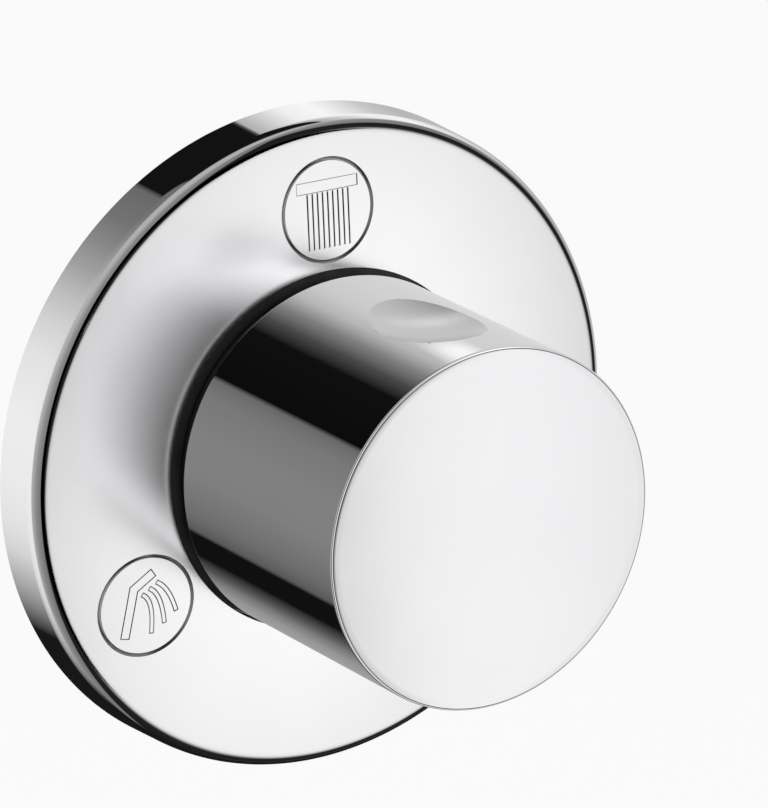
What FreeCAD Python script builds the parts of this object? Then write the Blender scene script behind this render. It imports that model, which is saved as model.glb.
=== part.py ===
import FreeCAD, Part
import math
import os

os.makedirs("parts", exist_ok=True)

# all sizes are in mm, angles in degrees
# front is the distance in front of the finished wall, so y is minus front
# cover plate
plate_radius = 47.0
plate_rim_height = 8.4
plate_draft = 0.3
plate_edge_round = 2.2
plate_dome_radius = 450.0
plate_wall = 1.6
plate_hole_margin = 0.2
plate_hole_round = 0.6
collar_wall = 1.4
collar_back = 4.0

# symbol discs, the clock angle runs from 12 o'clock towards 9 o'clock
symbol_radius_share = 0.338
symbol_place_share = 0.4085
symbol_thick = 1.0
symbol_edge_round = 0.2
symbol_peg_radius = 1.5
symbol_peg_length = 1.4
symbol_cut = 4.0
overhead_angle = 0.0
hand_angle = 120.0

# handle
handle_radius = 25.5
handle_back = 12.4
handle_length = 37.1
handle_edge_round = 0.4
handle_front_wall = 2.5
skirt_wall = 1.7
handle_wall = 3.9
handle_hub_radius = 13.5
handle_rib_count = 6
handle_rib_thick = 2.0
handle_rib_back = 30.0
dimple_ball_radius = 25.0
dimple_depth = 2.0
dimple_front = 34.2
grub_front = 34.0
grub_radius = 2.5
grub_outer_end = 16.0
grub_boss_radius = 4.6
grub_boss_end = 17.5
grub_access_radius = 2.9
cap_thick = 3.0
hex_key_radius = 1.4
hex_key_depth = 2.5

# spindle adapter and its screw
adapter_radius = 9.9
adapter_flange_radius = 12.8
adapter_flange_back = 19.3
adapter_flange_front = 25.0
adapter_front = 46.0
adapter_web = 2.4
screw_radius = 1.9
screw_head_radius = 3.5
screw_head_height = 3.5
screw_length = 12.0

# stops that limit the turn
stop_ring_radius = 13.0
stop_ring_back = 13.0
stop_ring_thick = 3.0
stop_lug_height = 3.0
stop_lug_inner = 9.2
fixed_lug_half_angle = 15.0
moving_lug_half_angle = 44.5
stop_peg_radius = 0.9
stop_peg_height = 1.6

# spindle
spindle_radius = 5.0
spindle_shoulder = 24.0
spline_inner = 3.9
spline_outer = 4.5
spline_teeth = 12
spline_length = 16.0
driver_gap = 1.8
driver_thick = 3.5
dog_width = 4.0
dog_reach = 1.5
dog_inner = 5.5
groove_radius = 3.9
groove_width = 1.8
groove_front = 18.5
groove_rear = 15.0
clip_groove_radius = 4.2
clip_back = 22.4
clip_thick = 1.0
clip_radius = 7.2
clip_gap_half_angle = 28.0
washer_gap = 0.5
washer_thick = 0.8

# cartridge
floor_front = -6.0
gasket_thick = 1.5
stator_thick = 4.0
rotor_thick = 4.45
pocket_depth = 2.2
centre_hole_radius = 3.8
outlet_hole_radius = 2.9
outlet_edge = 0.5
key_radius = 1.2
housing_wall = 2.1
housing_flange_step = 1.5
housing_flange_back = 3.0
housing_flange_thick = 2.0
housing_top_step = 2.4
housing_top_wall = 1.2
housing_ceiling = 8.35
housing_shoulder = 13.0
neck_radius = 8.0
neck_front = 22.0
seal_groove_depth = 1.1
seal_groove_width = 1.8
seal_front = 1.0
nut_front = 11.0
nut_notch_count = 6
nut_notch_width = 4.0
nut_notch_depth = 2.0

# sleeve and its rings
sleeve_wall = 2.1
sleeve_collar_wall = 3.0
sleeve_back = 1.0
sleeve_collar_front = 10.5
sleeve_front = 24.0
grip_front = 7.6
grip_groove_depth = 0.8
glide_back = 19.0
glide_width = 2.0
glide_groove_depth = 1.0

# wall seal
wall_seal_width = 2.9
wall_seal_thick = 4.0

# brass body
body_back = -29.0
body_wall = 2.5
body_step = 1.5
body_neck_front = 9.0
port_front = -17.0
port_boss_radius = 11.7
port_boss_height = 3.0
port_thread_radius = 9.3
port_thread_length = 12.0
inlet_passage_radius = 4.3
outlet_passage_radius = 5.0
foot_hole_gap = 6.0
foot_end = 6.0
foot_half_height = 19.0
foot_thick = 4.0
foot_corner_round = 5.0
foot_hole_radius = 2.75
foot_hole_half_spacing = 13.0

# clearances
disc_clear = 0.15
peg_clear = 0.1
sliding_clear = 0.1
running_clear = 0.05
thread_clear = 0.2
turning_clear = 0.3
skirt_clear = 1.3
chamber_clear = 0.2
flange_clear = 0.6
gasket_clear = 0.5
disc_gap = 0.4
nut_clear = 0.2

# sizes that follow from the ones above
plate_hole_radius = handle_radius + plate_hole_margin
skirt_bore = handle_radius - skirt_wall
handle_bore = handle_radius - handle_wall
sleeve_radius = skirt_bore - turning_clear
sleeve_bore = sleeve_radius - sleeve_wall
body_neck_radius = sleeve_radius - sleeve_collar_wall
body_radius = body_neck_radius + body_step
nut_bore = body_neck_radius - body_wall
housing_flange_radius = nut_bore - flange_clear
housing_radius = housing_flange_radius - housing_flange_step
port_reach = body_radius + port_boss_height
foot_hole_place = body_radius + foot_hole_gap
foot_reach = foot_hole_place + foot_end
plate_band = plate_radius - plate_hole_radius
symbol_radius = plate_band * symbol_radius_share
symbol_place = plate_hole_radius + plate_band * symbol_place_share
chamber_radius = housing_radius + chamber_clear
gasket_radius = chamber_radius - gasket_clear
housing_bore = housing_radius - housing_wall
disc_radius = housing_bore - disc_gap
outlet_place = disc_radius - outlet_hole_radius - outlet_edge
outlet_passage_end = outlet_place - outlet_hole_radius - outlet_edge
housing_top_radius = housing_radius - housing_top_step
housing_top_bore = housing_top_radius - housing_top_wall
driver_radius = housing_top_bore - driver_gap
washer_radius = housing_top_bore - washer_gap
nut_inner = housing_top_radius + nut_clear
stop_peg_place = (neck_radius + housing_top_radius) / 2
grip_groove_radius = sleeve_radius - grip_groove_depth
glide_groove_radius = sleeve_radius - glide_groove_depth

origin = FreeCAD.Vector(0, 0, 0)
axis = FreeCAD.Vector(0, 1, 0)
outward = FreeCAD.Vector(0, -1, 0)


def place(radius, front):
    return FreeCAD.Vector(radius, -front, 0)


def turned(outline, sweep=360):
    corners = [place(r, f) for r, f in outline]
    face = Part.Face(Part.makePolygon(corners + corners[:1]))
    return face.revolve(origin, axis, sweep)


def ring(inner, outer, back, front):
    return turned([(inner, back), (outer, back), (outer, front), (inner, front)])


def sector(inner, outer, back, front, middle, half):
    piece = turned([(inner, back), (outer, back), (outer, front), (inner, front)], 2 * half)
    piece.rotate(origin, axis, -(90 + middle + half))
    return piece


def clock(angle, radius):
    turn = math.radians(angle)
    return -radius * math.sin(turn), radius * math.cos(turn)


def rod(radius, back, front, x=0, z=0):
    return Part.makeCylinder(radius, front - back, FreeCAD.Vector(x, -back, z), outward)


def spoke(radius, start, end, angle, front):
    x, z = clock(angle, 1)
    base = FreeCAD.Vector(x * start, -front, z * start)
    return Part.makeCylinder(radius, end - start, base, FreeCAD.Vector(x, 0, z))


def block(x_from, x_to, back, front, z_from, z_to):
    corner = FreeCAD.Vector(x_from, -front, z_from)
    return Part.makeBox(x_to - x_from, front - back, z_to - z_from, corner)


def seal_ring(inner, outer, front):
    half = (outer - inner) / 2
    middle = (outer + inner) / 2
    flat = half / 2
    outline = [(inner, front - flat), (middle, front - half), (outer, front - flat)]
    outline += [(outer, front + flat), (middle, front + half), (inner, front + flat)]
    return turned(outline)


def toothed(inner, outer, teeth, back, front):
    corners = []
    for step in range(4 * teeth):
        radius = outer if step % 4 < 2 else inner
        x, z = clock(90.0 * (step - 0.5) / teeth, radius)
        corners.append(FreeCAD.Vector(x, -back, z))
    face = Part.Face(Part.makePolygon(corners + corners[:1]))
    return face.extrude(FreeCAD.Vector(0, back - front, 0))


def hexagon(radius, length, base, direction):
    corners = []
    for step in range(6):
        turn = math.radians(60 * step)
        corners.append(FreeCAD.Vector(radius * math.cos(turn), radius * math.sin(turn), 0))
    prism = Part.Face(Part.makePolygon(corners + corners[:1])).extrude(FreeCAD.Vector(0, 0, length))
    prism.Placement = FreeCAD.Placement(base, FreeCAD.Rotation(FreeCAD.Vector(0, 0, 1), direction))
    return prism


def round_edges(shape, radius, front, size):
    picked = []
    for edge in shape.Edges:
        curve = edge.Curve
        if isinstance(curve, Part.Circle) and abs(curve.Radius - radius) < 0.02:
            if abs(curve.Center.y + front) < 0.02 and abs(curve.Center.x) < 0.02:
                picked.append(edge)
    return shape.makeFillet(size, picked)


def save(shape, name):
    solid = shape.removeSplitter()
    if solid.ShapeType != "Solid":
        solid = solid.Solids[0]
    solid.exportStep("parts/" + name + ".step")
    print(name, "valid" if solid.isValid() else "not valid", len(shape.Solids), round(solid.Volume, 1))


# cover plate, a thin dome with a tall rim and a collar round its hole
top_radius = plate_radius - plate_draft
dome_centre = plate_rim_height - math.sqrt(plate_dome_radius ** 2 - top_radius ** 2)


def dome_front(radius, inset=0.0):
    return dome_centre + math.sqrt((plate_dome_radius - inset) ** 2 - radius ** 2)


def dome_arc(start, end, inset):
    middle = (start + end) / 2
    ends = [place(r, dome_front(r, inset)) for r in (start, middle, end)]
    return Part.Arc(ends[0], ends[1], ends[2]).toShape()


rim_inner = plate_radius - plate_draft - plate_wall
collar_radius = plate_hole_radius + collar_wall
plate_edges = [Part.makeLine(place(plate_radius, 0), place(top_radius, plate_rim_height))]
plate_edges.append(dome_arc(top_radius, plate_hole_radius, 0.0))
hole_top = place(plate_hole_radius, dome_front(plate_hole_radius))
plate_edges.append(Part.makeLine(hole_top, place(plate_hole_radius, collar_back)))
plate_edges.append(Part.makeLine(place(plate_hole_radius, collar_back), place(collar_radius, collar_back)))
collar_top = place(collar_radius, dome_front(collar_radius, plate_wall))
plate_edges.append(Part.makeLine(place(collar_radius, collar_back), collar_top))
plate_edges.append(dome_arc(collar_radius, rim_inner, plate_wall))
rim_top = place(rim_inner, dome_front(rim_inner, plate_wall))
plate_edges.append(Part.makeLine(rim_top, place(rim_inner, 0)))
plate_edges.append(Part.makeLine(place(rim_inner, 0), place(plate_radius, 0)))
plate_face = Part.Face(Part.Wire(plate_edges))
plate = plate_face.revolve(origin, axis, 360)
plate = round_edges(plate, top_radius, plate_rim_height, plate_edge_round)
plate = round_edges(plate, plate_hole_radius, dome_front(plate_hole_radius), plate_hole_round)

# symbol discs sit flush in pockets square to the dome
dome_ball = Part.makeSphere(plate_dome_radius, place(0, dome_centre))
boss_ball = Part.makeSphere(plate_dome_radius - plate_wall, place(0, dome_centre))


def symbol(angle):
    x, z = clock(angle, symbol_place)
    top = FreeCAD.Vector(x, -dome_front(symbol_place), z)
    normal = (top - place(0, dome_centre)).normalize()
    seat = top - normal * symbol_thick
    pocket = Part.makeCylinder(symbol_radius + disc_clear, symbol_cut, seat, normal)
    hole_end = seat - normal * symbol_cut
    peg_hole = Part.makeCylinder(symbol_peg_radius + peg_clear, 2 * symbol_cut, hole_end, normal)
    disc = Part.makeCylinder(symbol_radius, symbol_cut, seat, normal).common(dome_ball)
    long_edges = [e for e in disc.Edges if e.Length > symbol_radius]
    edges = [e for e in long_edges if (e.CenterOfMass - seat).dot(normal) > 0.3]
    disc = disc.makeFillet(symbol_edge_round, edges)
    peg_end = seat - normal * symbol_peg_length
    peg = Part.makeCylinder(symbol_peg_radius, symbol_peg_length + 0.5, peg_end, normal)
    return disc.fuse(peg), pocket.fuse(peg_hole)


overhead_disc, overhead_pocket = symbol(overhead_angle)
hand_disc, hand_pocket = symbol(hand_angle)
plate = plate.cut(overhead_pocket)
plate = plate.cut(hand_pocket)
save(plate, "escutcheon")
save(overhead_disc, "overhead_symbol_disc")
save(hand_disc, "hand_symbol_disc")
save(ring(rim_inner - wall_seal_width, rim_inner, 0, wall_seal_thick), "wall_seal")

# handle, a hollow knob with hub and ribs, a thumb dimple on top and the grub screw below
handle_front = handle_back + handle_length
handle_inside = handle_front - handle_front_wall
skirt_front = sleeve_front + skirt_clear
handle = rod(handle_radius, handle_back, handle_front)
handle = round_edges(handle, handle_radius, handle_front, handle_edge_round)
handle = round_edges(handle, handle_radius, handle_back, handle_edge_round)
handle = handle.cut(rod(skirt_bore, handle_back, skirt_front))
handle = handle.cut(ring(handle_hub_radius, handle_bore, skirt_front, handle_inside))
adapter_bore = adapter_radius + sliding_clear
handle = handle.cut(rod(handle_hub_radius, skirt_front - 1, adapter_flange_front))
handle = handle.cut(rod(adapter_bore, adapter_flange_front, adapter_front + 1))
for step in range(handle_rib_count):
    angle = 360.0 / handle_rib_count * (step + 0.5)
    half_rib = handle_rib_thick / 2
    rib_inner = handle_hub_radius - 0.5
    rib = block(-half_rib, half_rib, handle_rib_back, handle_inside + 0.5, rib_inner, handle_bore + 0.5)
    rib.rotate(origin, axis, -angle)
    handle = handle.fuse(rib)
handle = handle.fuse(spoke(grub_boss_radius, adapter_bore + 1, grub_boss_end, 180, grub_front))
handle = handle.cut(spoke(grub_radius, adapter_bore - 1, grub_boss_end + 1, 180, grub_front))
handle = handle.cut(spoke(grub_access_radius, grub_boss_end + 2, handle_radius + 1, 180, grub_front))
ball_height = handle_radius - dimple_depth + dimple_ball_radius
ball_middle = FreeCAD.Vector(0, -dimple_front, ball_height)
handle = handle.cut(Part.makeSphere(dimple_ball_radius, ball_middle))
save(handle, "handle")

grub = spoke(grub_radius - running_clear, adapter_radius + running_clear, grub_outer_end, 180, grub_front)
grub_base = FreeCAD.Vector(0, -grub_front, -grub_outer_end)
grub = grub.cut(hexagon(hex_key_radius, hex_key_depth, grub_base, FreeCAD.Vector(0, 0, 1)))
save(grub, "handle_grub_screw")
cap_start = handle_radius - cap_thick
cap = spoke(grub_access_radius - running_clear, cap_start, handle_radius + 1, 180, grub_front)
cap = cap.common(rod(handle_radius, handle_back, handle_front))
save(cap, "screw_cap")

# spindle adapter with the moving stop lug, splined on the spindle
spline_front = spindle_shoulder + spline_length
web_front = spline_front + sliding_clear + adapter_web
hollow_radius = neck_radius + turning_clear + 0.3
lug_back = stop_ring_back + stop_ring_thick + turning_clear
adapter = ring(hollow_radius, adapter_flange_radius, adapter_flange_back, spindle_shoulder)
adapter = adapter.fuse(rod(adapter_flange_radius, spindle_shoulder, adapter_flange_front))
adapter = adapter.fuse(rod(adapter_radius, adapter_flange_front, adapter_front))
lug_top = adapter_flange_back + 0.5
lug = sector(stop_lug_inner, adapter_flange_radius, lug_back, lug_top, overhead_angle, moving_lug_half_angle)
adapter = adapter.fuse(lug)
spline_grow = sliding_clear
bore_end = spline_front + sliding_clear
spline_bore = toothed(spline_inner + spline_grow, spline_outer + spline_grow, spline_teeth,
                      spindle_shoulder - 1, bore_end)
adapter = adapter.cut(spline_bore)
adapter = adapter.cut(rod(screw_radius + thread_clear, spline_front - 1, adapter_front))
adapter = adapter.cut(rod(screw_head_radius + turning_clear, web_front, adapter_front + 1))
save(adapter, "spindle_adapter")

screw = rod(screw_head_radius, web_front, web_front + screw_head_height)
screw = screw.fuse(rod(screw_radius, web_front - screw_length, web_front))
key_base = FreeCAD.Vector(0, -(web_front + screw_head_height), 0)
screw = screw.cut(hexagon(hex_key_radius, hex_key_depth, key_base, axis))
save(screw, "adapter_screw")

# stop ring, held by two pegs of the housing
stop_front = stop_ring_back + stop_ring_thick
stop = ring(neck_radius + sliding_clear, stop_ring_radius, stop_ring_back, stop_front)
fixed_front = stop_front + stop_lug_height
fixed_back = stop_front - 0.5
fixed_lug = sector(stop_lug_inner, stop_ring_radius, fixed_back, fixed_front, 180, fixed_lug_half_angle)
stop = stop.fuse(fixed_lug)
for side in (-1, 1):
    hole = rod(stop_peg_radius + peg_clear, stop_ring_back - 1, stop_ring_back + 2, side * stop_peg_place)
    stop = stop.cut(hole)
save(stop, "stop_ring")

# spindle, with dogs behind that turn the rotor
rotor_back = floor_front + gasket_thick + stator_thick + running_clear
rotor_front = rotor_back + rotor_thick
driver_front = rotor_front + driver_thick
spindle = rod(driver_radius, rotor_front, driver_front)
spindle = spindle.fuse(rod(spindle_radius, rotor_front, spindle_shoulder))
teeth = toothed(spline_inner, spline_outer, spline_teeth, spindle_shoulder - 0.5, spline_front)
spindle = spindle.fuse(teeth)
for front in (groove_rear, groove_front):
    half = groove_width / 2
    spindle = spindle.cut(ring(groove_radius, spindle_radius + 1, front - half, front + half))
clip_front = clip_back + clip_thick
spindle = spindle.cut(ring(clip_groove_radius, spindle_radius + 1, clip_back - 0.1, clip_front))
tap_back = web_front - screw_length - 1
spindle = spindle.cut(rod(screw_radius + running_clear, tap_back, spline_front + 1))
half_dog = dog_width / 2
for side in (-1, 1):
    dog_ends = sorted((side * dog_inner, side * (driver_radius - 0.5)))
    dog = block(dog_ends[0], dog_ends[1], rotor_front - dog_reach, rotor_front + 0.5, -half_dog, half_dog)
    spindle = spindle.fuse(dog)
save(spindle, "spindle")

neck_bore = spindle_radius + running_clear
save(seal_ring(groove_radius, neck_bore - 0.02, groove_front), "spindle_o_ring_front")
save(seal_ring(groove_radius, neck_bore - 0.02, groove_rear), "spindle_o_ring_rear")
clip = ring(clip_groove_radius, clip_radius, clip_back, clip_front)
clip = clip.cut(sector(0, clip_radius + 1, clip_back - 1, clip_front + 1, 180, clip_gap_half_angle))
save(clip, "retaining_clip")
washer = ring(spindle_radius + sliding_clear, washer_radius, driver_front, driver_front + washer_thick)
save(washer, "thrust_washer")

# ceramic discs and the gasket under them
overhead_x, overhead_z = clock(overhead_angle, outlet_place)
hand_x, hand_z = clock(hand_angle, outlet_place)


def water_holes(back, front):
    holes = rod(centre_hole_radius, back, front)
    holes = holes.fuse(rod(outlet_hole_radius, back, front, overhead_x, overhead_z))
    return holes.fuse(rod(outlet_hole_radius, back, front, hand_x, hand_z))


stator_back = floor_front + gasket_thick
stator_front = stator_back + stator_thick
gasket = rod(gasket_radius, floor_front, stator_back)
save(gasket.cut(water_holes(floor_front - 1, stator_back + 1)), "base_gasket")
stator = rod(disc_radius, stator_back, stator_front)
stator = stator.cut(water_holes(stator_back - 1, stator_front + 1))
for side in (-1, 1):
    notch = rod(key_radius + sliding_clear, stator_back - 1, stator_front + 1, side * disc_radius)
    stator = stator.cut(notch)
save(stator, "stator_disc")

rotor = rod(disc_radius, rotor_back, rotor_front)
pocket_front = rotor_back + pocket_depth
channel = rod(outlet_hole_radius, rotor_back - 1, pocket_front, overhead_x, overhead_z)
channel = channel.fuse(rod(centre_hole_radius, rotor_back - 1, pocket_front))
half_channel = outlet_hole_radius
channel = channel.fuse(block(-half_channel, half_channel, rotor_back - 1, pocket_front, 0, outlet_place))
rotor = rotor.cut(channel)
dog_slot = half_dog + sliding_clear
for side in (-1, 1):
    slot_ends = sorted((side * (dog_inner - sliding_clear), side * (disc_radius + 1)))
    slot_back = rotor_front - dog_reach - sliding_clear
    rotor = rotor.cut(block(slot_ends[0], slot_ends[1], slot_back, rotor_front + 1, -dog_slot, dog_slot))
save(rotor, "rotor_disc")

# cartridge housing and the nut that holds it down
flange_front = housing_flange_back + housing_flange_thick
step_front = flange_front - 0.4
groove_bottom = housing_radius - seal_groove_depth
seal_half = seal_groove_width / 2
outline = [(housing_bore, stator_back), (housing_radius, stator_back)]
outline += [(housing_radius, seal_front - seal_half)]
outline += [(groove_bottom, seal_front - seal_half), (groove_bottom, seal_front + seal_half)]
outline += [(housing_radius, seal_front + seal_half), (housing_radius, housing_flange_back)]
outline += [(housing_flange_radius, housing_flange_back), (housing_flange_radius, flange_front)]
outline += [(housing_top_radius, flange_front), (housing_top_radius, housing_shoulder)]
outline += [(neck_radius, housing_shoulder), (neck_radius, neck_front), (neck_bore, neck_front)]
outline += [(neck_bore, housing_ceiling), (housing_top_bore, housing_ceiling)]
outline += [(housing_top_bore, step_front), (housing_bore, step_front)]
housing = turned(outline)
for side in (-1, 1):
    peg_front = housing_shoulder + stop_peg_height
    housing = housing.fuse(rod(stop_peg_radius, housing_shoulder - 1, peg_front, side * stop_peg_place))
    key = rod(key_radius, stator_back, stator_front - turning_clear, side * disc_radius)
    key = key.common(rod(housing_bore + 0.5, stator_back, stator_front))
    housing = housing.fuse(key)
save(housing, "cartridge_housing")
save(seal_ring(groove_bottom, chamber_radius, seal_front), "cartridge_o_ring")

nut = ring(nut_inner, nut_bore - thread_clear, flange_front, nut_front)
for step in range(nut_notch_count):
    half = nut_notch_width / 2
    notch = block(-half, half, nut_front - nut_notch_depth, nut_front + 1, nut_inner - 2, nut_bore + 1)
    notch.rotate(origin, axis, 360.0 / nut_notch_count * step)
    nut = nut.cut(notch)
save(nut, "retaining_nut")

# sleeve round the body neck, with the ring that grips the plate and the ring that guides the handle
sleeve_collar_bore = body_neck_radius + sliding_clear
sleeve = ring(sleeve_collar_bore, sleeve_radius, sleeve_back, sleeve_collar_front)
sleeve = sleeve.fuse(ring(sleeve_bore, sleeve_radius, sleeve_collar_front - 1, sleeve_front))
grip_half = (plate_hole_radius - grip_groove_radius) / 2
grip_back = grip_front - grip_half
sleeve = sleeve.cut(ring(grip_groove_radius, sleeve_radius + 1, grip_back, grip_front + grip_half))
glide_front = glide_back + glide_width
sleeve = sleeve.cut(ring(glide_groove_radius, sleeve_radius + 1, glide_back, glide_front))
save(sleeve, "sleeve")
save(seal_ring(grip_groove_radius, plate_hole_radius, grip_front), "escutcheon_grip_ring")
save(ring(glide_groove_radius, skirt_bore - running_clear, glide_back, glide_front), "glide_ring")

# brass body with ports below, above and on the left, and a fixing foot on the right
body = rod(body_radius, body_back, sleeve_back)
body = body.fuse(rod(body_neck_radius, sleeve_back - 1, body_neck_front))
port_angles = {"inlet": 180.0, "overhead": 0.0, "hand": 90.0}
for angle in port_angles.values():
    body = body.fuse(spoke(port_boss_radius, 0, port_reach, angle, port_front))
foot_front = body_back + foot_thick
foot = block(0, foot_reach, body_back, foot_front, -foot_half_height, foot_half_height)
far_edges = [e for e in foot.Edges if e.CenterOfMass.x > foot_reach - 0.01]
foot_edges = [e for e in far_edges if abs(e.Length - foot_thick) < 0.01]
foot = foot.makeFillet(foot_corner_round, foot_edges)
body = body.fuse(foot)
for side in (-1, 1):
    hole_z = side * foot_hole_half_spacing
    body = body.cut(rod(foot_hole_radius, body_back - 1, foot_front + 1, foot_hole_place, hole_z))
body = body.cut(rod(chamber_radius, floor_front, body_neck_front + 1))
body = body.cut(rod(nut_bore, housing_flange_back, body_neck_front + 1))
thread_start = port_reach - port_thread_length
for angle in port_angles.values():
    body = body.cut(spoke(port_thread_radius, thread_start, port_reach + 1, angle, port_front))
inlet_end = -centre_hole_radius - 0.5
body = body.cut(spoke(inlet_passage_radius, inlet_end, port_reach, port_angles["inlet"], port_front))
for name in ("overhead", "hand"):
    passage = spoke(outlet_passage_radius, outlet_passage_end, port_reach, port_angles[name], port_front)
    body = body.cut(passage)
body = body.cut(water_holes(port_front, floor_front + 1))
save(body, "valve_body")
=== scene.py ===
import math

import bmesh
import bpy
from mathutils import Matrix, Vector


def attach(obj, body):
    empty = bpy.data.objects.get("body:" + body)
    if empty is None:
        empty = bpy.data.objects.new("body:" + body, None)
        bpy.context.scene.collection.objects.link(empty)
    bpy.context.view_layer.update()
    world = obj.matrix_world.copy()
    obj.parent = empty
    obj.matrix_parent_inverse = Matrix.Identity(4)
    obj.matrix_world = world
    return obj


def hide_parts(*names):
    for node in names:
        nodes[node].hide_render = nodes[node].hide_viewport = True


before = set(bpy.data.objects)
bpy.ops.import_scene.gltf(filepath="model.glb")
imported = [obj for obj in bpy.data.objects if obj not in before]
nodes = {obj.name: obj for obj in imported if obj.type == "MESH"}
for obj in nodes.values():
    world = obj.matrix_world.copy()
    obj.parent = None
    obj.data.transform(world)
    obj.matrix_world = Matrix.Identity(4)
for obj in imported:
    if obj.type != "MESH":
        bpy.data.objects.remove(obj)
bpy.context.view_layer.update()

mm = 0.001
print("frame loaded")


# shader helpers
class Wire:
    def __init__(self, tree, socket):
        self.tree = tree
        self.socket = socket

    def math(self, operation, first, second):
        node = self.tree.nodes.new("ShaderNodeMath")
        node.operation = operation
        for slot, value in zip(node.inputs, (first, second)):
            if isinstance(value, Wire):
                self.tree.links.new(value.socket, slot)
            else:
                slot.default_value = value
        return Wire(self.tree, node.outputs[0])

    def __add__(self, other):
        return self.math("ADD", self, other)

    def __radd__(self, other):
        return self.math("ADD", other, self)

    def __sub__(self, other):
        return self.math("SUBTRACT", self, other)

    def __rsub__(self, other):
        return self.math("SUBTRACT", other, self)

    def __mul__(self, other):
        return self.math("MULTIPLY", self, other)

    def __rmul__(self, other):
        return self.math("MULTIPLY", other, self)

    def top(self, other):
        return self.math("MAXIMUM", self, other)


class Look:
    def __init__(self, name, tree=None):
        self.material = None
        if tree is None:
            self.material = bpy.data.materials.new(name)
            self.material.use_nodes = True
            tree = self.material.node_tree
        self.tree = tree

    def add(self, kind, settings=None, inputs=None, out=0):
        node = self.tree.nodes.new(kind)
        for key, value in (settings or {}).items():
            setattr(node, key, value)
        for key, value in (inputs or {}).items():
            self.put(node, key, value)
        return Wire(self.tree, node.outputs[out])

    def put(self, node, key, value):
        if isinstance(value, Wire):
            self.tree.links.new(value.socket, node.inputs[key])
        else:
            node.inputs[key].default_value = value

    def place(self):
        return self.add("ShaderNodeTexCoord", out="Object")

    def noise(self, scale, detail):
        inputs = {"Vector": self.place(), "Scale": scale, "Detail": detail, "Roughness": 0.55}
        return self.add("ShaderNodeTexNoise", None, inputs, "Fac")

    def spread(self, value, low, high):
        inputs = {"Value": value, "From Min": 0.3, "From Max": 0.7, "To Min": low, "To Max": high}
        return self.add("ShaderNodeMapRange", None, inputs)

    def mixColor(self, factor, first, second):
        return self.add("ShaderNodeMix", {"data_type": "RGBA"}, {0: factor, 6: first, 7: second}, 2)  # colour sockets

    def bump(self, height, strength, distance):
        return self.add("ShaderNodeBump", None, {"Height": height, "Strength": strength, "Distance": distance})

    def surface(self, **values):
        node = self.tree.nodes["Principled BSDF"]
        for key, value in values.items():
            self.put(node, key.replace("_", " "), value)
        return self.material

    def show(self, shader):
        self.tree.links.new(shader.socket, self.tree.nodes["Material Output"].inputs["Surface"])


grainDeep = 0.0002


def metalLook(name, light, dark, rough, scale, grain=0.0, grainSize=900.0):
    look = Look(name)
    film = look.noise(scale, 4.0)
    smear = look.noise(scale * 6, 2.0)
    color = look.mixColor(look.spread(film, 0.0, 1.0), light, dark)
    gloss = look.spread(smear, rough[0], rough[1])
    values = {"Base_Color": color, "Roughness": gloss, "Metallic": 1.0}
    if grain:
        values["Normal"] = look.bump(look.noise(grainSize, 5.0), grain, grainDeep)
    return look.surface(**values)


def softLook(name, light, dark, rough, scale, grain, grainSize, level=0.4):
    look = Look(name)
    color = look.mixColor(look.spread(look.noise(scale, 4.0), 0.0, 1.0), light, dark)
    gloss = look.spread(look.noise(scale * 3, 3.0), rough[0], rough[1])
    normal = look.bump(look.noise(grainSize, 4.0), grain, grainDeep)
    values = {"Base_Color": color, "Roughness": gloss, "Normal": normal, "Specular_IOR_Level": level}
    return look.surface(**values)


# satin face and polished rim
plateMetal = {
    "light": (0.86, 0.86, 0.87, 1), "dark": (0.85, 0.85, 0.862, 1), "edge": 0.0453, "fade": 0.0005,
    "rough": 0.19, "polish": 0.025,
}


def plateFinish(name):
    look = Look(name)
    edge = plateMetal["edge"]
    flat = look.add("ShaderNodeVectorMath", {"operation": "MULTIPLY"}, {0: look.place(), 1: (1, 0, 1)})
    radius = look.add("ShaderNodeVectorMath", {"operation": "LENGTH"}, {0: flat}, "Value")
    limits = {"Value": radius, "From Min": edge - plateMetal["fade"], "From Max": edge}
    rim = look.add("ShaderNodeMapRange", None, limits)
    film = look.spread(look.noise(22.0, 4.0), 0.0, 1.0)
    color = look.mixColor(film, plateMetal["light"], plateMetal["dark"])
    smear = look.spread(look.noise(130.0, 2.0), 0.97, 1.03)
    gloss = (1 - rim) * plateMetal["rough"] + plateMetal["polish"]
    return look.surface(Base_Color=color, Roughness=smear * gloss, Metallic=1.0)


# each look has its light and dark colour, range of roughness, size of smears, then depth and size of grain
plateLook = plateFinish("plateLook")
# satin finish for the dimple, its base colour darker than the chrome's as painted shade
satinShadeLook = metalLook("satinShadeLook", (0.74, 0.74, 0.75, 1), (0.72, 0.72, 0.735, 1), (0.2, 0.26), 40.0)
chromeLook = metalLook("chromeLook", (0.86, 0.86, 0.87, 1), (0.83, 0.83, 0.845, 1), (0.012, 0.035), 22.0)
# painted shade: a dark metal colour for the walls and floors of recesses, standing in for their shadow
recessShadeLook = metalLook("recessShadeLook", (0.20, 0.20, 0.21, 1), (0.14, 0.14, 0.15, 1), (0.3, 0.45), 160.0)
steelLook = metalLook("steelLook", (0.56, 0.56, 0.57, 1), (0.44, 0.44, 0.46, 1), (0.22, 0.34), 200.0, 0.1)
castLook = metalLook("castLook", (0.78, 0.57, 0.27, 1), (0.62, 0.42, 0.17, 1), (0.3, 0.46), 60.0, 0.35, 1400.0)
turnedLook = metalLook("turnedLook", (0.82, 0.62, 0.31, 1), (0.74, 0.53, 0.24, 1), (0.14, 0.24), 90.0, 0.08, 2600.0)
plasticLook = softLook(
    "plasticLook", (0.016, 0.016, 0.017, 1), (0.008, 0.008, 0.009, 1),
    (0.35, 0.5), 120.0, 0.15, 2600.0,
)
rubberLook = softLook(
    "rubberLook", (0.022, 0.022, 0.022, 1), (0.012, 0.012, 0.012, 1),
    (0.55, 0.75), 160.0, 0.3, 1800.0,
)
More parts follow.
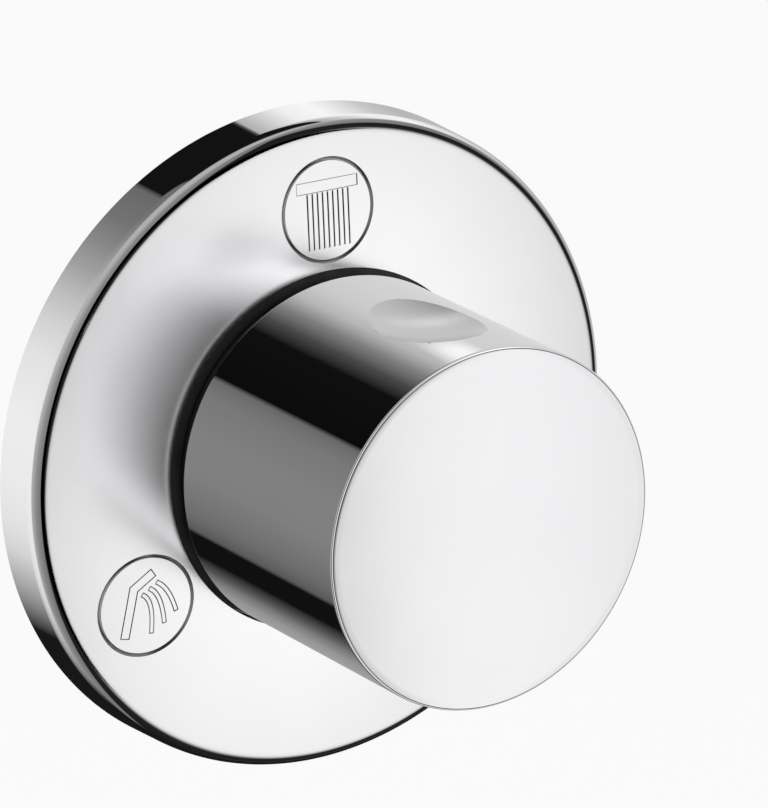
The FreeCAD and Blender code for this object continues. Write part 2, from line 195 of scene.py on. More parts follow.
greyLook = softLook(
    "greyLook", (0.42, 0.43, 0.44, 1), (0.34, 0.35, 0.36, 1),
    (0.42, 0.58), 140.0, 0.2, 2200.0,
)
whiteLook = softLook(
    "whiteLook", (0.86, 0.86, 0.83, 1), (0.78, 0.78, 0.75, 1),
    (0.3, 0.45), 140.0, 0.1, 2200.0,
)
ceramicLook = softLook(
    "ceramicLook", (0.9, 0.89, 0.86, 1), (0.85, 0.84, 0.8, 1),
    (0.08, 0.16), 90.0, 0.03, 3000.0, 0.55,
)
print("materials made")


# mesh helpers, outlines are pairs of radius and front in mm, front is minus y
near = 0.02  # a face this close to a true surface takes its normals from it


def spot(radius, angle, front):
    turn = math.radians(angle)
    return Vector((-radius * math.sin(turn), -front, radius * math.cos(turn))) * mm


def rounded(corners, sizes, steps=8):
    outline = []
    count = len(corners)
    for index, corner in enumerate(corners):
        size = sizes.get(index, 0)
        here = Vector(corner)
        if not size:
            outline.append(tuple(here))
            continue
        before = (Vector(corners[index - 1]) - here).normalized()
        after = (Vector(corners[(index + 1) % count]) - here).normalized()
        half = before.angle(after) / 2
        middle = here + (before + after).normalized() * size / math.sin(half)
        start = here + before * size / math.tan(half) - middle
        end = here + after * size / math.tan(half) - middle
        sweep = start.angle_signed(end)
        for step in range(steps + 1):
            turn = -sweep * step / steps
            swung = Matrix.Rotation(turn, 2) @ start
            outline.append(tuple(middle + swung))
    return outline


def runTo(start, end, steps):
    first = Vector(start)
    last = Vector(end)
    return [tuple(first.lerp(last, step / steps)) for step in range(1, steps)]


def finishMesh(name, work, sharpAngle=32):
    bmesh.ops.recalc_face_normals(work, faces=work.faces[:])
    mesh = bpy.data.meshes.new(name)
    work.to_mesh(mesh)
    work.free()
    mesh.polygons.foreach_set("use_smooth", [True] * len(mesh.polygons))
    mesh.set_sharp_from_angle(angle=math.radians(sharpAngle))
    piece = bpy.data.objects.new(name, mesh)
    bpy.context.scene.collection.objects.link(piece)
    return piece


def lathe(name, outline, steps=256, sharpAngle=32):
    work = bmesh.new()
    rings = []
    for radius, front in outline:
        if radius < 1e-6:
            rings.append([work.verts.new(spot(0, 0, front))])
        else:
            rings.append([work.verts.new(spot(radius, 360 * step / steps, front)) for step in range(steps)])
    for index, ring in enumerate(rings):
        other = rings[(index + 1) % len(rings)]
        if len(ring) == 1 and len(other) == 1:
            continue
        for step in range(steps):
            after = (step + 1) % steps
            if len(ring) == 1:
                work.faces.new((ring[0], other[step], other[after]))
            elif len(other) == 1:
                work.faces.new((ring[step], other[0], ring[after]))
            else:
                work.faces.new((ring[step], other[step], other[after], ring[after]))
    return finishMesh(name, work, sharpAngle)


def carve(piece, cutters):
    for cutter in cutters:
        modifier = piece.modifiers.new("carve", "BOOLEAN")
        modifier.operation = "DIFFERENCE"
        modifier.solver = "EXACT"
        modifier.object = cutter
    bpy.context.view_layer.update()
    graph = bpy.context.evaluated_depsgraph_get()
    mesh = bpy.data.meshes.new_from_object(piece.evaluated_get(graph))
    piece.modifiers.clear()
    piece.data = mesh
    for cutter in cutters:
        bpy.data.objects.remove(cutter)


def trueNormals(piece, rule, sharpAngle=32):
    mesh = piece.data
    mesh.polygons.foreach_set("use_smooth", [True] * len(mesh.polygons))
    mesh.set_sharp_from_angle(angle=math.radians(sharpAngle))
    normals = [Vector((0, 0, 0))] * len(mesh.loops)
    for face in mesh.polygons:
        given = rule(face)
        if given is None:
            continue
        for loop in face.loop_indices:
            normals[loop] = given(mesh.vertices[mesh.loops[loop].vertex_index].co)
    mesh.normals_split_custom_set(normals)


def dress(piece, body, look, replaced):
    if not piece.data.materials:
        piece.data.materials.append(look)
    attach(piece, body)
    for name in replaced:
        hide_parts(name)


# cover plate
plate = {
    "radius": 47.0, "height": 8.4, "draft": 0.3, "edge": 2.2, "dome": 450.0, "wall": 1.6,
    "hole": 25.7, "holeEdge": 0.25, "collar": 27.1, "collarBack": 4.0,
    "edgeSteps": 16, "faceSteps": 60, "lipSteps": 6, "backSteps": 20,
    "faceStart": 44.0, "domeFrom": 26.0, "domeTo": 44.4, "rimFrom": 46.5,
}
discs = {
    "radius": 7.05, "gap": 0.42, "bevel": 0.06, "place": 34.4, "thick": 1.0, "edge": 0.14,
    "peg": 1.5, "pegLong": 1.4, "faceSteps": 24, "edgeSteps": 5, "overhead": 0.0, "hand": 120.0,
}
plateTop = plate["radius"] - plate["draft"]
domeCentre = plate["height"] - math.sqrt(plate["dome"] ** 2 - plateTop ** 2)
ballCentre = Vector((0, -domeCentre, 0)) * mm


def domeFront(radius, inset=0.0):
    return domeCentre + math.sqrt((plate["dome"] - inset) ** 2 - radius ** 2)


def discFrame(angle):
    top = spot(discs["place"], angle, domeFront(discs["place"]))
    normal = (top - ballCentre).normalized()
    right = (Vector((1, 0, 0)) - normal * normal.x).normalized()
    up = right.cross(-normal).normalized()
    turn = Matrix((right, -normal, up)).transposed().to_4x4()
    return Matrix.Translation(top) @ turn


def makePlate():
    top = plateTop
    hole = plate["hole"]
    lip = plate["holeEdge"]
    collar = plate["collar"]
    rimInner = top - plate["wall"]
    outer = [(plate["radius"], 0.0), (top, plate["height"]), (plate["faceStart"], domeFront(plate["faceStart"]))]
    outline = rounded(outer, {1: plate["edge"]}, plate["edgeSteps"])[:-1]
    start = outline[-1][0]
    for step in range(1, plate["faceSteps"] + 1):
        radius = start + (hole + lip - start) * step / plate["faceSteps"]
        outline.append((radius, domeFront(radius)))
    front = domeFront(hole)
    for step in range(1, plate["lipSteps"] + 1):
        turn = math.radians(90 / plate["lipSteps"] * step)
        outline.append((hole + lip - lip * math.sin(turn), front - lip + lip * math.cos(turn)))
    outline += [(hole, plate["collarBack"]), (collar, plate["collarBack"])]
    for step in range(plate["backSteps"] + 1):
        radius = collar + (rimInner - collar) * step / plate["backSteps"]
        outline.append((radius, domeFront(radius, plate["wall"])))
    outline.append((rimInner, 0.0))
    piece = lathe("escutcheonTrim", outline, 360)

    wide = discs["radius"] + discs["gap"]
    bevel = discs["bevel"]
    thick = discs["thick"]
    shape = [(0, -thick), (wide, -thick), (wide, -bevel), (wide + 2 * bevel, bevel), (wide + 2 * bevel, 3), (0, 3)]
    frames = [discFrame(angle) for angle in (discs["overhead"], discs["hand"])]
    cutters = []
    for place in frames:
        cutter = lathe("pocket", shape, 160)
        cutter.matrix_world = place
        cutters.append(cutter)
    piece.data.materials.append(plateLook)
    piece.data.materials.append(recessShadeLook)
    carve(piece, cutters)
    for place in frames:  # pocket walls and floors painted dark as shade
        inward = place.inverted()
        for face in piece.data.polygons:
            middle = inward @ face.center / mm
            if Vector((middle.x, middle.z)).length < wide + 0.03 and 0.1 < middle.y < thick + 0.1:
                face.material_index = 1
    limit = plate["dome"] * mm
    lean = math.atan2(plate["draft"], plate["height"])
    rimTop = plate["height"] - plate["edge"]

    def rule(face):
        offset = face.center - ballCentre
        flat = Vector((face.center.x, 0, face.center.z)).length / mm
        if flat > plate["rimFrom"] and 0 < -face.center.y / mm < rimTop:
            rise = Vector((0, math.sin(lean), 0))
            return lambda point: Vector((point.x, 0, point.z)).normalized() * math.cos(lean) - rise
        if abs(offset.length - limit) < near * mm and plate["domeFrom"] < flat < plate["domeTo"]:
            return lambda point: (point - ballCentre).normalized()
        return None

    trueNormals(piece, rule)
    dress(piece, "valve", plateLook, ["escutcheon"])
    piece.visible_glossy = False
    return piece


trim = makePlate()
print("cover plate made")

# symbol inserts, signs are cut as shallow channels
signs = {
    "depth": 0.4, "above": -1.0, "stream": 0.34, "streams": 9, "pitch": 0.825,
    "streamTop": 2.62, "streamLow": -5.3, "barLow": 2.75, "barWide": 9.8, "barTall": 1.6,
    "barLines": (0.15, 0.26, 0.09, 0.08),
    "handLine": 0.17, "handGrip": [(-3.2, -4.4), (-1.9, 2.7), (1.1, 4.7)], "handWide": 1.3,
    "handStream": 0.6, "handBend": (1.9, -0.9), "handSteps": 12,
    "handStreams": [((-0.6, 1.7), (0.9, -4.2)), ((0.5, 2.45), (2.9, -3.0)), ((1.6, 3.2), (4.7, -1.5))],
}


def stripCutter(start, end, width, depth):
    first = Vector(start)
    last = Vector(end)
    along = (last - first).normalized()
    side = Vector((-along.y, along.x)) * width / 2
    corners = [first - side, last - side, last + side, first + side]
    work = bmesh.new()
    low = [work.verts.new(Vector((c.x, depth, c.y)) * mm) for c in corners]
    high = [work.verts.new(Vector((c.x, signs["above"], c.y)) * mm) for c in corners]
    work.faces.new(low)
    work.faces.new(high)
    for step in range(4):
        after = (step + 1) % 4
        work.faces.new((low[step], low[after], high[after], high[step]))
    return finishMesh("signCutter", work)


def bandCutter(corners, line, depth):
    count = len(corners)
    loops = []
    work = bmesh.new()
    for shift in (line / 2, -line / 2):
        ring = []
        for index, corner in enumerate(corners):
            before = (corner - corners[index - 1]).normalized()
            after = (corners[(index + 1) % count] - corner).normalized()
            along = (before + after).normalized()
            ring.append(corner + Vector((-along.y, along.x)) * shift / along.dot(after))
        for level in (depth, signs["above"]):
            loops.append([work.verts.new(Vector((c.x, level, c.y)) * mm) for c in ring])
    for first, last in ((0, 1), (2, 3), (0, 2), (1, 3)):
        for step in range(count):
            after = (step + 1) % count
            work.faces.new((loops[first][step], loops[first][after], loops[last][after], loops[last][step]))
    return finishMesh("signCutter", work)


def ribbon(points, width):
    left = []
    right = []
    for index, point in enumerate(points):
        before = (point - points[max(index - 1, 0)]).normalized()
        after = (points[min(index + 1, len(points) - 1)] - point).normalized()
        along = (before + after).normalized()
        side = Vector((-along.y, along.x)) * width / 2 / along.dot(after if after.length else before)
        left.append(point + side)
        right.append(point - side)
    return left + right[::-1]


def overheadSign():
    depth = signs["depth"]
    half = signs["barWide"] / 2
    low = signs["barLow"]
    high = low + signs["barTall"]
    corners = [(-half, high), (half, high), (half, low), (-half, low)]
    cutters = []
    for index, width in enumerate(signs["barLines"]):
        cutters.append(stripCutter(corners[index], corners[(index + 1) % 4], width, depth))
    for index in range(signs["streams"]):
        x = (index - (signs["streams"] - 1) / 2) * signs["pitch"]
        cutters.append(stripCutter((x, signs["streamTop"]), (x, signs["streamLow"]), signs["stream"], depth))
    return cutters


def handSign():
    depth = signs["depth"]
    line = signs["handLine"]
    grip = [Vector(point) for point in signs["handGrip"]]
    cutters = [bandCutter(ribbon(grip, signs["handWide"]), line, depth)]
    for start, end in signs["handStreams"]:
        bend = Vector(start) + Vector(signs["handBend"])
        points = []
        for step in range(signs["handSteps"] + 1):
            share = step / signs["handSteps"]
            points.append(Vector(start).lerp(bend, share).lerp(bend.lerp(Vector(end), share), share))
        cutters.append(bandCutter(ribbon(points, signs["handStream"]), line, depth))
    return cutters


def makeDisc(name, angle, cutters, node, shadedFloor):
    wide = discs["radius"]
    edge = discs["edge"]
    thick = discs["thick"]
    peg = discs["peg"]
    pegBack = -thick - discs["pegLong"]
    drop = wide ** 2 / 2 / plate["dome"]
    outline = [(0.0, 0.0)]
    for step in range(1, discs["faceSteps"] + 1):
        radius = (wide - edge) * step / discs["faceSteps"]
        outline.append((radius, -radius ** 2 / 2 / plate["dome"]))
    for step in range(1, discs["edgeSteps"] + 1):
        turn = math.radians(90 / discs["edgeSteps"] * step)
        outline.append((wide - edge + edge * math.sin(turn), -drop - edge + edge * math.cos(turn)))
    outline += [(wide, -thick), (peg, -thick), (peg, pegBack), (0.0, pegBack)]
    piece = lathe(name, outline, 160)
    piece.data.materials.append(plateLook)
    piece.data.materials.append(recessShadeLook)
    carve(piece, cutters)
    top = Vector((0, plate["dome"], 0)) * mm
    for face in piece.data.polygons:  # channel walls get painted shade, a dark metal colour, and floors too where the lines are thin
        level = face.center.y / mm
        wall = abs(face.normal.y) < 0.3 and -0.2 < level < thick
        floor = shadedFloor and abs(level - signs["depth"]) < 0.01
        face.material_index = 1 if wall or floor else 0

    def rule(face):
        flat = Vector((face.center.x, 0, face.center.z)).length
        reach = (face.center - top).length
        if abs(reach - plate["dome"] * mm) < near * mm and flat < (wide - edge) * mm:
            return lambda point: (point - top).normalized()
        return None

    trueNormals(piece, rule)
    piece.data.transform(discFrame(angle))
    dress(piece, "valve", plateLook, [node])
    piece.visible_glossy = False
    return piece


overheadInsert = makeDisc("overheadInsert", discs["overhead"], overheadSign(), "overhead_symbol_disc", False)
handInsert = makeDisc("handInsert", discs["hand"], handSign(), "hand_symbol_disc", True)
print("symbol inserts made")

# handle
knob = {
    "radius": 25.5, "back": 12.4, "front": 49.5, "edge": 0.36, "skirt": 23.8, "skirtFront": 25.3, "bore": 21.6,
    "inside": 47.0, "hub": 13.5, "hubBack": 25.0, "hubBore": 10.0, "hubFloor": 47.0,
    "ball": 25.0, "dimple": 2.0, "dimpleFront": 34.2, "hole": 2.9, "holeFront": 34.0,
    "middle": 30.0, "holeDeep": 6.0, "edgeSteps": 8, "faceSteps": 6, "sideSteps": 40,
}


def makeHandle():
    radius = knob["radius"]
    edge = knob["edge"]
    front = knob["front"]
    back = knob["back"]
    skirt = knob["skirt"]
    faceSteps = knob["faceSteps"]
    outline = [((radius - edge) * step / faceSteps, front) for step in range(faceSteps)]
    corners = [(radius - edge - 1, front), (radius, front), (radius, knob["middle"])]
    outline += rounded(corners, {1: edge}, knob["edgeSteps"])[:-1]
    outline += runTo((radius, front - edge), (radius, back + edge), knob["sideSteps"])
    corners = [(radius, knob["middle"]), (radius, back), (skirt, back)]
    outline += rounded(corners, {1: edge}, knob["edgeSteps"])[1:]
    outline += [(skirt, knob["skirtFront"]), (knob["bore"], knob["skirtFront"]), (knob["bore"], knob["inside"])]
    outline += [(knob["hub"], knob["inside"]), (knob["hub"], knob["hubBack"]), (knob["hubBore"], knob["hubBack"])]
    outline += [(knob["hubBore"], knob["hubFloor"]), (0.0, knob["hubFloor"])]
    piece = lathe("handleKnob", outline, 360)
    work = bmesh.new()
    bmesh.ops.create_uvsphere(work, u_segments=256, v_segments=160, radius=knob["ball"] * mm)
    ball = finishMesh("ballCutter", work)
    ballMiddle = Vector((0, -knob["dimpleFront"], radius - knob["dimple"] + knob["ball"])) * mm
    ball.location = ballMiddle
    deep = knob["holeDeep"]
    hole = lathe("holeCutter", [(0, -deep), (knob["hole"], -deep), (knob["hole"], deep), (0, deep)], 64)
    upright = Matrix.Rotation(math.radians(90), 4, "X")
    hole.matrix_world = Matrix.Translation(spot(radius, 180, knob["holeFront"])) @ upright
    piece.data.materials.append(chromeLook)
    piece.data.materials.append(satinShadeLook)
    carve(piece, [ball, hole])

    def rule(face):
        away = face.center - ballMiddle
        flat = Vector((face.center.x, 0, face.center.z)).length / mm
        level = -face.center.y / mm
        if abs(away.length / mm - knob["ball"]) < near:
            # the dimple takes the satin look, whose darker base colour is painted shade
            face.material_index = 1
            return lambda point: (ballMiddle - point).normalized()
        if flat > radius - near and back + edge < level < front - edge:
            return lambda point: Vector((point.x, 0, point.z)).normalized()
        return None

    trueNormals(piece, rule)
    dress(piece, "handle", chromeLook, ["handle"])
    return piece


handleKnob = makeHandle()
print("handle made")

# sleeve and the ring that grips the plate, seen in the gap
sleeve = {
    "radius": 23.5, "bore": 21.4, "collarBore": 20.6, "back": 1.0, "collarFront": 10.5, "front": 24.0,
    "grooveRadius": 22.5, "grooveBack": 19.0, "grooveFront": 21.0, "edge": 0.3,
}
grip = {"inner": 22.7, "outer": 25.68, "front": 7.6, "steps": 20}


def makeSleeve():
    half = (plate["hole"] - grip["inner"]) / 2
    low = grip["front"] - half
    high = grip["front"] + half
    radius = sleeve["radius"]
    bore = sleeve["bore"]
    collarBore = sleeve["collarBore"]
    groove = sleeve["grooveRadius"]
    outline = [(collarBore, sleeve["back"]), (radius, sleeve["back"])]
    outline += [(radius, low), (grip["inner"], low), (grip["inner"], high), (radius, high)]
    outline += [(radius, sleeve["grooveBack"]), (groove, sleeve["grooveBack"])]
    outline += [(groove, sleeve["grooveFront"]), (radius, sleeve["grooveFront"])]
    outline += [(radius, sleeve["front"]), (bore, sleeve["front"])]
    outline += [(bore, sleeve["collarFront"]), (collarBore, sleeve["collarFront"])]
    piece = lathe("sleeveBlack", rounded(outline, {1: sleeve["edge"], 10: sleeve["edge"]}, 4), 256)
    dress(piece, "valve", plasticLook, ["sleeve"])
    middle = (grip["inner"] + grip["outer"]) / 2
    section = (grip["outer"] - grip["inner"]) / 2
    loop = []
    for step in range(grip["steps"]):
        turn = math.tau * step / grip["steps"]
        loop.append((middle + section * math.cos(turn), grip["front"] + section * math.sin(turn)))
    piece = lathe("gripRing", loop, 200)
    dress(piece, "valve", rubberLook, ["escutcheon_grip_ring"])


makeSleeve()
print("sleeve and ring made")

# brass body, the frame's solid with threads cut in its ports
ports = {
    "front": -17.0, "mouth": 25.0, "start": 13.3, "minor": 9.25, "depth": 1.05, "pitch": 1.81, "chamfer": 10.6,
    "runIn": 0.4, "runOut": 1.2, "past": 0.6, "steps": 96, "rings": 104, "facing": 11.9, "cut": 10.7,
    "angles": [0.0, 90.0, 180.0],
}


def threadRadius(along, share):
    wave = (along / ports["pitch"] + share) % 1
    fade = min(1, max(0, (along - ports["start"] - ports["runIn"]) / ports["runOut"]))
    thread = ports["minor"] + ports["depth"] * fade * (1 - abs(2 * wave - 1))
    return max(thread, ports["chamfer"] - max(0, ports["mouth"] - along))


def threadCutter(angle):
    work = bmesh.new()
    steps = ports["steps"]
    count = ports["rings"]
    rings = []
    for index in range(count + 1):
        along = ports["start"] + (ports["mouth"] + ports["past"] - ports["start"]) * index / count
        ring = []
        for step in range(steps):
            turn = math.tau * step / steps
            radius = threadRadius(along, step / steps)
            ring.append(work.verts.new(Vector((radius * math.cos(turn), radius * math.sin(turn), along)) * mm))
        rings.append(ring)
    for ring, other in zip(rings, rings[1:]):
        for step in range(steps):
            after = (step + 1) % steps
            work.faces.new((ring[step], ring[after], other[after], other[step]))
    work.faces.new(rings[0][::-1])
    work.faces.new(rings[-1])
    cutter = finishMesh("threadCutter", work)
    turned = Matrix.Rotation(math.radians(-angle), 4, "Y")
    cutter.matrix_world = Matrix.Translation(spot(0, 0, ports["front"])) @ turned
    return cutter


def makeBody():
    solid = nodes["valve_body"]
    mesh = solid.data.copy()
    mesh.materials.clear()
    if "custom_normal" in mesh.attributes:
        mesh.attributes.remove(mesh.attributes["custom_normal"])
    mesh.transform(solid.matrix_world)
    piece = bpy.data.objects.new("bodyBrass", mesh)
    bpy.context.scene.collection.objects.link(piece)
    carve(piece, [threadCutter(angle) for angle in ports["angles"]])
    piece.data.materials.clear()
    piece.data.materials.append(castLook)
    piece.data.materials.append(turnedLook)
    for face in piece.data.polygons:
        middle = face.center / mm
        for angle in ports["angles"]:
            way = spot(1, angle, 0) / mm
            along = middle.x * way.x + middle.z * way.z
            off = (middle - way * along - Vector((0, -ports["front"], 0))).length
            mouth = along > ports["mouth"] - 0.05
            thread = off < ports["cut"] and along > ports["start"] - 0.5
            if off < ports["facing"] and (mouth or thread):
                face.material_index = 1
    trueNormals(piece, lambda face: None, 25)
    dress(piece, "valve", castLook, ["valve_body"])
    piece.visible_glossy = False


makeBody()
print("brass body made")

# solids that stay as the frame has them
kept = {
    "screw_cap": chromeLook, "wall_seal": rubberLook, "glide_ring": whiteLook,
    "handle_grub_screw": steelLook, "adapter_screw": steelLook, "retaining_clip": steelLook,
    "spindle_adapter": turnedLook, "spindle": turnedLook, "retaining_nut": turnedLook,
    "stop_ring": greyLook, "cartridge_housing": greyLook, "rotor_disc": ceramicLook, "stator_disc": ceramicLook,
    "base_gasket": rubberLook, "spindle_o_ring_front": rubberLook, "spindle_o_ring_rear": rubberLook,
    "cartridge_o_ring": rubberLook, "thrust_washer": whiteLook,
}
for name, look in kept.items():
    nodes[name].data.materials.clear()
    nodes[name].data.materials.append(look)
    nodes[name].visible_glossy = False
print("kept solids dressed")


# studio, shells that only mirrors see, one for the handle, one for the plate and a plain one for the rest
# side tones go by the clock angle of the chrome that mirrors them, box tones by how far a way is off the softbox
studio = {
    "knobReach": 0.62, "plateReach": 0.60, "plainReach": 0.66, "rows": 150, "swing": 58.0, "seam": -32.5,
    "softbox": (0.5195, -0.7908, -0.3236), "boxSide": (0.8357, 0.5491, 0.0), "boxUp": (0.1777, -0.2705, 0.9462),
    "boxShift": -2.0, "boxWide": 28.0, "boxTall": 40.0, "boxScale": 25.0, "rimBlend": 10.0,
    "knobFront": 0.72, "faceEnd": 8.0, "faceFade": 2.0, "ringTone": 0.02, "ringEnd": 26.0, "ringFade": 6.0,
}
knobTones = [
    (-32.5, 0.74), (0, 0.72), (8, 0.69), (12, 0.66), (18, 0.53), (24, 0.245), (30, 0.075), (35.5, 0.006),
    (53.6, 0.004), (54.9, 0.17), (60, 0.22), (72, 0.255), (84, 0.25), (90, 0.22), (97, 0.18), (102.5, 0.12),
    (104, 0.006), (112.5, 0.006), (118, 0.10), (123, 0.23), (129, 0.33), (138, 0.37), (147.5, 0.4),
]
faceTones = [(-5.0, 0.78), (-4.2, 0.90), (-3.2, 1.0), (-1.8, 1.05), (-0.4, 1.03), (0.6, 0.98), (1.4, 0.93)]
rimTones = [
    (-35, 0.5), (-25, 0.52), (-15, 0.50), (-8, 0.63), (-3, 0.86), (1.5, 1.05), (6.5, 0.98), (11.5, 0.65),
    (14, 0.5), (14.6, 0.007), (33.6, 0.007), (34.3, 0.16), (40.5, 0.20), (45, 0.28), (50, 0.41), (55, 0.60),
    (60, 0.76), (65, 0.88), (75, 0.98), (85, 0.96), (92, 0.89), (97, 0.77), (102, 0.52), (106, 0.33),
    (110, 0.13), (113, 0.01), (143, 0.01), (147, 0.4),
]
boxTones = [
    (0, 1.24), (5, 1.22), (8, 1.15), (12, 1.02), (17, 0.78), (22, 0.35), (27, 0.02), (47, 0.012), (50, 0.2),
    (78, 0.3), (104, 0.5),
]


def toneAt(stops, value):
    if value <= stops[0][0]:
        return stops[0][1]
    for first, last in zip(stops, stops[1:]):
        if value <= last[0]:
            share = (value - first[0]) / (last[0] - first[0])
            return first[1] + (last[1] - first[1]) * share
    return stops[-1][1]


def sideTone(stops, way):
    angle = (math.degrees(math.atan2(-way.x, way.z)) + studio["swing"]) / 2
    if angle < studio["seam"]:
        angle += 180
    return toneAt(stops, angle)


def boxAngles(way):
    ahead, side, up = (way.dot(Vector(studio[name])) for name in ("softbox", "boxSide", "boxUp"))
    return math.degrees(math.atan2(side, ahead)), math.degrees(math.asin(max(-1, min(1, up))))


def blend(first, last, share):
    return first + (last - first) * min(1, max(0, share))


def knobTone(way):
    side = blend(sideTone(knobTones, way), studio["knobFront"], 0.3 - way.y * 3)
    across, above = boxAngles(way)
    off = math.hypot(across, above)
    ring = blend(studio["ringTone"], side, (off - studio["ringEnd"]) / studio["ringFade"])
    return blend(toneAt(faceTones, across), ring, (off - studio["faceEnd"]) / studio["faceFade"])


def plateTone(way):
    across, above = boxAngles(way)
    off = math.hypot((across - studio["boxShift"]) / studio["boxWide"], above / studio["boxTall"])
    box = toneAt(boxTones, studio["boxScale"] * off)
    return blend(box, sideTone(rimTones, way), way.y * studio["rimBlend"])


def plainTone(way):
    return 0.52 + 0.33 * way.z + 0.2 * math.cos(3 * math.atan2(way.x, way.y))


def cardLook(name, clear):
    look = Look(name)
    look.tree.nodes.remove(look.tree.nodes["Principled BSDF"])
    tone = look.add("ShaderNodeAttribute", {"attribute_name": "tone"}, None, "Fac")
    shine = look.add("ShaderNodeEmission", None, {"Color": tone})
    if clear:
        shine = look.add("ShaderNodeAddShader", None, {0: shine, 1: look.add("ShaderNodeBsdfTransparent")})
    look.show(shine)
    look.material.cycles.emission_sampling = "NONE"
    return look.material


def makeCard(name, grid, closed, tone, clear):
    work = bmesh.new()
    columns = [[work.verts.new(place) for place in column] for column in grid]
    for index, column in enumerate(columns):
        if index == len(columns) - 1 and not closed:
            continue
        other = columns[(index + 1) % len(columns)]
        for row in range(len(column) - 1):
            work.faces.new((column[row], other[row], other[row + 1], column[row + 1]))
    mesh = bpy.data.meshes.new(name)
    work.to_mesh(mesh)
    work.free()
    values = mesh.attributes.new("tone", "FLOAT", "POINT")
    values.data.foreach_set("value", [tone(v.co) for v in mesh.vertices])
    mesh.materials.append(cardLook(name + "Look", clear))
    card = bpy.data.objects.new(name, mesh)
    bpy.context.scene.collection.objects.link(card)
    card.visible_camera = False
    card.visible_diffuse = False
    card.visible_shadow = False
    card.visible_transmission = False
    return card


def makeShell(name, reach, tone, clear):
    rows = studio["rows"]
    polar = [math.radians(1 + 178 * row / rows) for row in range(rows + 1)]
    grid = []
    for angle in range(360):
        grid.append([spot(math.sin(turn), angle, math.cos(turn)) * reach / mm for turn in polar])
    return makeCard(name, grid, True, lambda place: tone(place.normalized()), clear)


# card behind the plate that gives the handle's upper side its glint
glint = {"front": -10.0, "inner": 58.0, "outer": 72.0, "start": -36.0, "end": -12.0, "fade": 5.0, "tone": 0.4}


def makeGlint():
    radii = [glint["inner"] + (glint["outer"] - glint["inner"]) * row / 12 for row in range(13)]
    angles = [glint["start"] + (glint["end"] - glint["start"]) * column / 16 for column in range(17)]
    grid = [[spot(radius, angle, glint["front"]) for radius in radii] for angle in angles]

    def tone(place):
        radius = Vector((place.x, place.z)).length / mm
        angle = math.degrees(math.atan2(-place.x, place.z))
        across = math.sin(math.pi * (angle - glint["start"]) / (glint["end"] - glint["start"]))
        along = min(1, (radius - glint["inner"]) / glint["fade"])
        return glint["tone"] * max(0, across) * max(0, along)

    return makeCard("glintCard", grid, False, tone, True)


# graded flag that darkens the handle where the plate mirrors it
shade = {
    "radius": 80.0, "back": 111.0, "front": 161.0, "margin": 38.0, "low": 0.01, "high": 1.4, "side": 1.4,
    "middle": 72.0, "start": -46.0, "end": 172.0, "core": 54.0, "fade": 50.0,
}


def makeShade():
    deep = shade["front"] - shade["back"] + 2 * shade["margin"]
    fronts = [shade["back"] - shade["margin"] + deep * row / 60 for row in range(61)]
    angles = [shade["start"] + (shade["end"] - shade["start"]) * column / 120 for column in range(121)]
    grid = [[spot(shade["radius"], angle, front) for front in fronts] for angle in angles]

    def tone(place):
        angle = math.degrees(math.atan2(-place.x, place.z))
        share = (-place.y / mm - shade["back"]) / (shade["front"] - shade["back"])
        side = (abs(angle - shade["middle"]) - shade["core"]) / shade["fade"]
        return blend(blend(shade["low"], shade["high"], share), shade["side"], side)

    return makeCard("shadeFlag", grid, False, tone, False)


def lightOnly(shell, pieces, state="INCLUDE"):
    group = bpy.data.collections.new(shell.name + "Pieces")
    for piece in pieces:
        group.objects.link(piece)
    for entry in group.collection_objects:
        entry.light_linking.link_state = state
    shell.light_linking.receiver_collection = group


knobPieces = [handleKnob, nodes["screw_cap"]]
platePieces = [trim, overheadInsert, handInsert]
knobShell = makeShell("knobShell", studio["knobReach"], knobTone, True)
plateShell = makeShell("plateShell", studio["plateReach"], plateTone, True)
plainShell = makeShell("plainShell", studio["plainReach"], plainTone, False)
lightOnly(knobShell, knobPieces)
lightOnly(makeGlint(), knobPieces)
lightOnly(plateShell, platePieces)
lightOnly(makeShade(), knobPieces)
lightOnly(plainShell, knobPieces + platePieces, "EXCLUDE")


def backdropShare(look):
    rays = ("Is Camera Ray", "Is Glossy Ray", "Is Transmission Ray")
    direct, glossy, through = [look.add("ShaderNodeLightPath", None, None, ray) for ray in rays]
    return direct.top(glossy).top(through)


backdrop = {"size": 12.0, "low": -0.75, "floorShare": 0.9, "worldLight": 0.55}


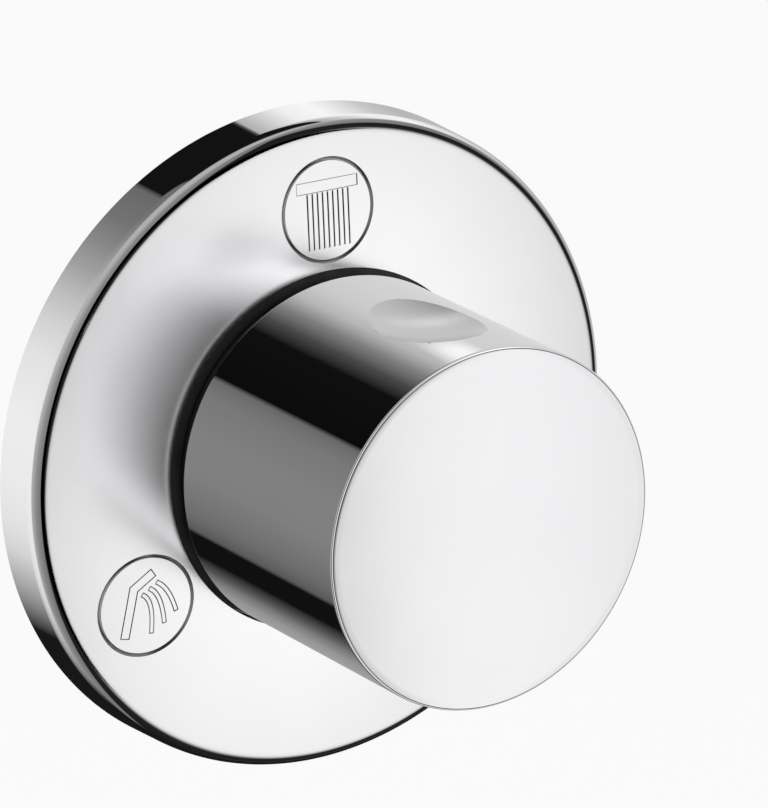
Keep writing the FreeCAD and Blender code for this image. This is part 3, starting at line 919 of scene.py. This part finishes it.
def makeFloor():
    bpy.ops.mesh.primitive_plane_add(size=backdrop["size"], location=(0, 0, backdrop["low"]))
    floor = bpy.context.object
    floor.name = "paleFloor"
    look = Look("floorLook")
    grain = look.noise(30.0, 3.0)
    color = look.mixColor(look.spread(grain, 0.0, 1.0), (0.9, 0.9, 0.9, 1), (0.88, 0.88, 0.88, 1))
    look.surface(Base_Color=color, Roughness=0.8)
    glow = look.add("ShaderNodeEmission", None, {"Color": (1, 1, 1, 1), "Strength": 1.0})
    share = backdropShare(look) * backdrop["floorShare"]
    body = Wire(look.tree, look.tree.nodes["Principled BSDF"].outputs[0])
    mixed = look.add("ShaderNodeMixShader", None, {0: share, 1: body, 2: glow})
    look.show(mixed)
    floor.data.materials.append(look.material)


def makeWorld():
    world = bpy.data.worlds.new("studioWorld")
    world.use_nodes = True
    bpy.context.scene.world = world
    look = Look("world", world.node_tree)
    back = world.node_tree.nodes["Background"]
    share = backdropShare(look)
    look.put(back, "Color", (1, 1, 1, 1))
    look.put(back, "Strength", share * (1 - backdrop["worldLight"]) + backdrop["worldLight"])


lamps = {  # place, size and power
    "keyLamp": ((-0.7, -1.0, 1.1), 0.9, 9.0),
    "fillLamp": ((1.0, -0.6, 0.5), 1.0, 4.0),
    "backLamp": ((0.3, 1.1, 0.7), 1.0, 5.0),
}


def makeLamp(name, place, size, power):
    lamp = bpy.data.lights.new(name, "AREA")
    lamp.size = size
    lamp.energy = power
    holder = bpy.data.objects.new(name, lamp)
    holder.location = place
    holder.rotation_euler = (-Vector(place)).to_track_quat("-Z", "Y").to_euler()
    bpy.context.scene.collection.objects.link(holder)
    holder.visible_glossy = False
    holder.visible_camera = False


makeFloor()
makeWorld()
for name, values in lamps.items():
    makeLamp(name, *values)
print("studio made")

# camera at the photograph's angle
shot = {"turn": 33.3, "rise": 18.88, "lens": 356.4, "far": 1.11146, "shiftRight": 0.01288, "shiftUp": 0.00346}


def makeCamera():
    turn = math.radians(shot["turn"])
    rise = math.radians(shot["rise"])
    ahead = Vector((math.sin(turn) * math.cos(rise), math.cos(turn) * math.cos(rise), -math.sin(rise)))
    right = Vector((math.cos(turn), -math.sin(turn), 0))
    up = right.cross(ahead)
    camera = bpy.data.objects.new("shotCamera", bpy.data.cameras.new("shotCamera"))
    camera.data.lens = shot["lens"]
    camera.data.sensor_width = 36.0
    camera.data.clip_start = 0.01
    camera.data.clip_end = 50.0
    camera.location = right * shot["shiftRight"] + up * shot["shiftUp"] - ahead * shot["far"]
    camera.rotation_euler = Matrix((right, up, -ahead)).transposed().to_euler()
    bpy.context.scene.collection.objects.link(camera)
    bpy.context.scene.camera = camera


makeCamera()
bpy.context.scene.view_settings.view_transform = "Standard"
print("camera set")
